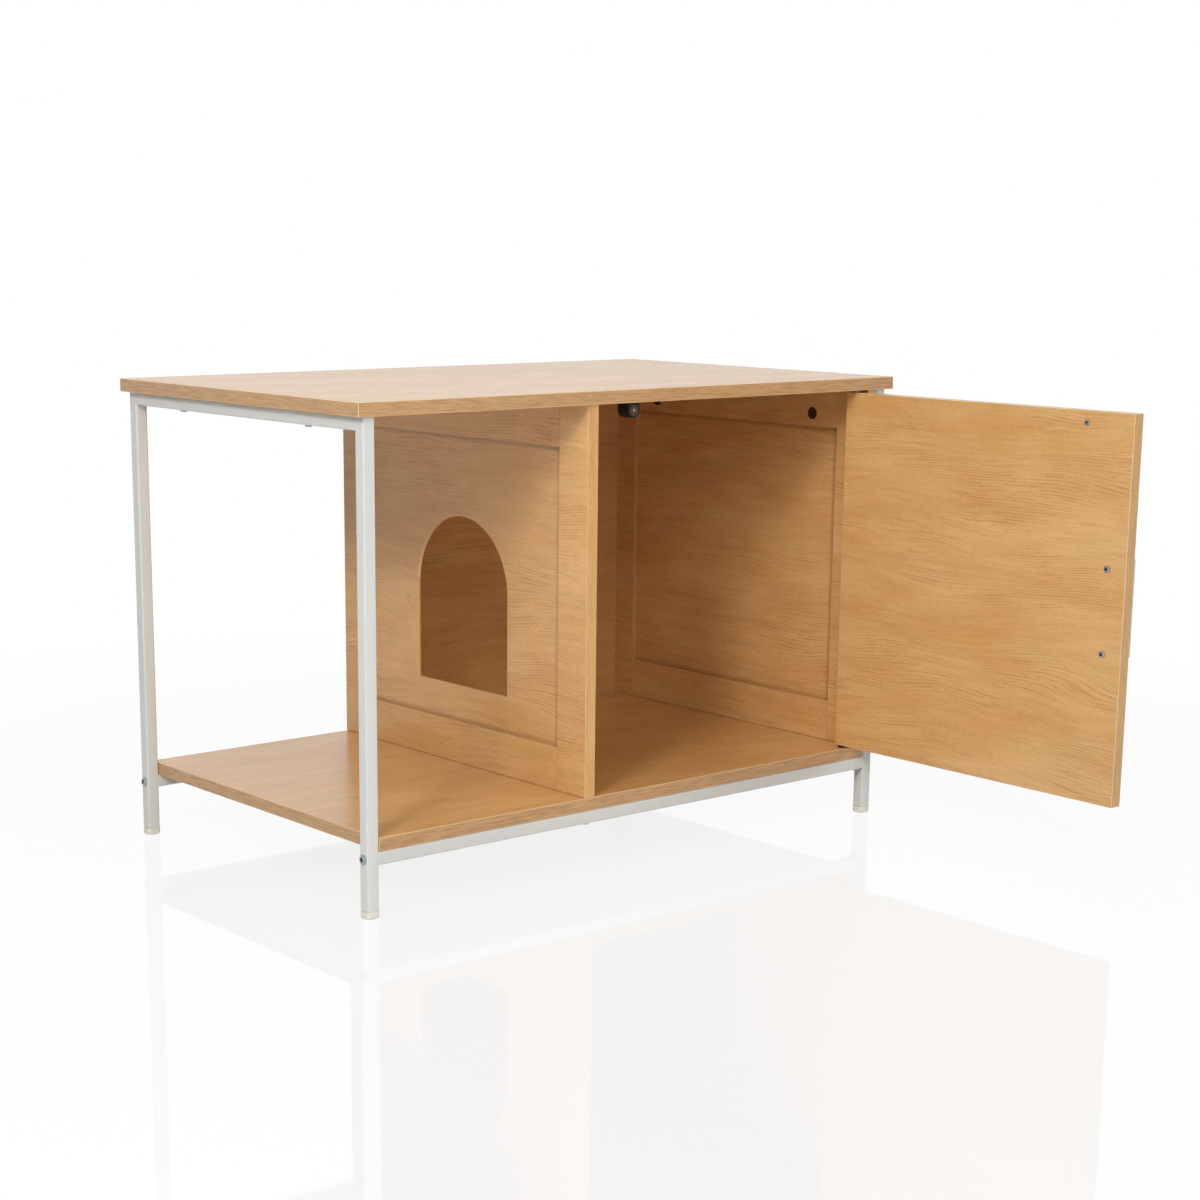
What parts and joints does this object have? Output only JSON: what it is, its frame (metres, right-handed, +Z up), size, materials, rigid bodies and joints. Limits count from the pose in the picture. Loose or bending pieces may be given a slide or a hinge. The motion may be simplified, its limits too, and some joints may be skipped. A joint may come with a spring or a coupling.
{
  "type": "cat litter box cabinet",
  "caption": "Side-table cabinet hiding a cat's litter tray: steel-tube frame, wood-decor boards, open bay, arched doorway in the divider and a hinged front door.",
  "frame": {"origin": "bottom centre of the whole box at rest, on the floor, with the door standing open at a right angle", "axes": "+X to the right as seen from the front, +Y from the front to the back, +Z up"},
  "size_m": [0.8, 0.8896, 0.55],
  "materials": {
    "oak_decor": "wood-grain decor foil on chipboard, satin",
    "white_powder_coat": "warm white powder coat, satin",
    "ivory_plastic": "moulded, matt",
    "zinc_plate": "bright zinc plate",
    "dark_bronze": "dark bronze plate, satin",
    "black_plastic": "moulded, satin",
    "dark_magnet": "sintered ferrite, matt"
  },
  "bodies": {
    "cabinet": {"left_front_leg": "white_powder_coat", "left_rear_leg": "white_powder_coat", "right_front_leg": "white_powder_coat", "right_rear_leg": "white_powder_coat", "left_top_rail": "white_powder_coat", "right_top_rail": "white_powder_coat", "front_lower_rail": "white_powder_coat", "rear_lower_rail": "white_powder_coat", "left_front_foot": "ivory_plastic", "left_rear_foot": "ivory_plastic", "right_front_foot": "ivory_plastic", "right_rear_foot": "ivory_plastic", "left_front_rail_bolt": "zinc_plate", "left_rear_rail_bolt": "zinc_plate", "right_front_rail_bolt": "zinc_plate", "right_rear_rail_bolt": "zinc_plate", "left_front_top_screw": "zinc_plate", "left_rear_top_screw": "zinc_plate", "right_front_top_screw": "zinc_plate", "right_rear_top_screw": "zinc_plate", "divider_front_screw": "zinc_plate", "divider_rear_screw": "zinc_plate", "side_front_screw": "zinc_plate", "side_rear_screw": "zinc_plate", "divider_front_cam_dowel": "zinc_plate", "divider_rear_cam_dowel": "zinc_plate", "side_front_cam_dowel": "zinc_plate", "side_rear_cam_dowel": "zinc_plate", "upper_plate_screw": "zinc_plate", "lower_plate_screw": "zinc_plate", "catch_pole": "zinc_plate", "catch_screw": "zinc_plate", "top_board": "oak_decor", "bottom_board": "oak_decor", "back_panel": "oak_decor", "divider_front_stile": "oak_decor", "divider_rear_stile": "oak_decor", "divider_top_rail": "oak_decor", "divider_bottom_rail": "oak_decor", "divider_panel": "oak_decor", "side_front_stile": "oak_decor", "side_rear_stile": "oak_decor", "side_top_rail": "oak_decor", "side_bottom_rail": "oak_decor", "side_panel": "oak_decor", "divider_front_cam_lock": "dark_bronze", "divider_rear_cam_lock": "dark_bronze", "side_front_cam_lock": "dark_bronze", "side_rear_cam_lock": "dark_bronze", "upper_pivot_plate": "dark_bronze", "lower_pivot_plate": "dark_bronze", "catch_housing": "black_plastic", "catch_magnet": "dark_magnet"},
    "door": {"door_board": "oak_decor", "door_handle": "white_powder_coat", "handle_lower_screw": "zinc_plate", "handle_upper_screw": "zinc_plate", "catch_strike_screw": "zinc_plate", "upper_pivot_pin": "zinc_plate", "lower_pivot_pin": "zinc_plate"}
  },
  "joints": [
    {"name": "door_hinge", "type": "hinge", "parent": "cabinet", "child": "door", "pos_m": [0.3487, -0.02765, 0.3119], "axis": [0, 0, 1], "range_deg": [-90, 20]}
  ]
}
